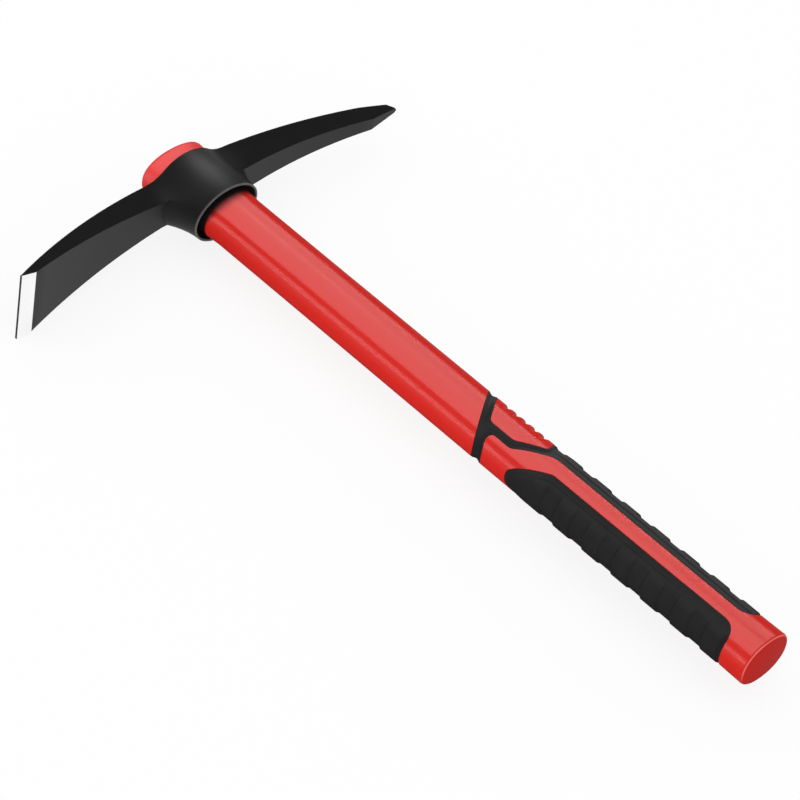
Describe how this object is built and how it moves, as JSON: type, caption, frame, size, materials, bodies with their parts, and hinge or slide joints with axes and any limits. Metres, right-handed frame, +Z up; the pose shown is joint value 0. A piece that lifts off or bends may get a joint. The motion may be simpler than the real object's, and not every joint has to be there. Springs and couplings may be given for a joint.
{
  "type": "pick mattock",
  "caption": "Short hand pick mattock: a forged head with a pick point and an adze blade, slip-fitted over the flared crown of a moulded handle with a ribbed two-material grip.",
  "frame": {"origin": "middle of the tool's box, at its lowest level, with the tool lying on its side", "axes": "+X along the handle towards the butt, +Y towards the pick point, +Z up across the broad faces"},
  "size_m": [0.4522, 0.277, 0.0462],
  "materials": {
    "head_black": "black baked enamel on forged steel, ground bright at the blade's bevel",
    "glass_fibre": "pultruded glass-fibre rod, hidden inside the jacket",
    "handle_red": "semi-gloss moulded red plastic",
    "grip_rubber": "fine-grained matt black moulded rubber"
  },
  "bodies": {
    "handle": {"core_rod": "glass_fibre", "handle_jacket": "handle_red", "back_grip": "grip_rubber", "finger_grip": "grip_rubber"},
    "head": {"pick_head": "head_black"}
  },
  "joints": [
    {"name": "head_slide", "type": "slide", "parent": "handle", "child": "head", "axis": [1, 0, 0], "range_m": [0, 0.46]}
  ]
}
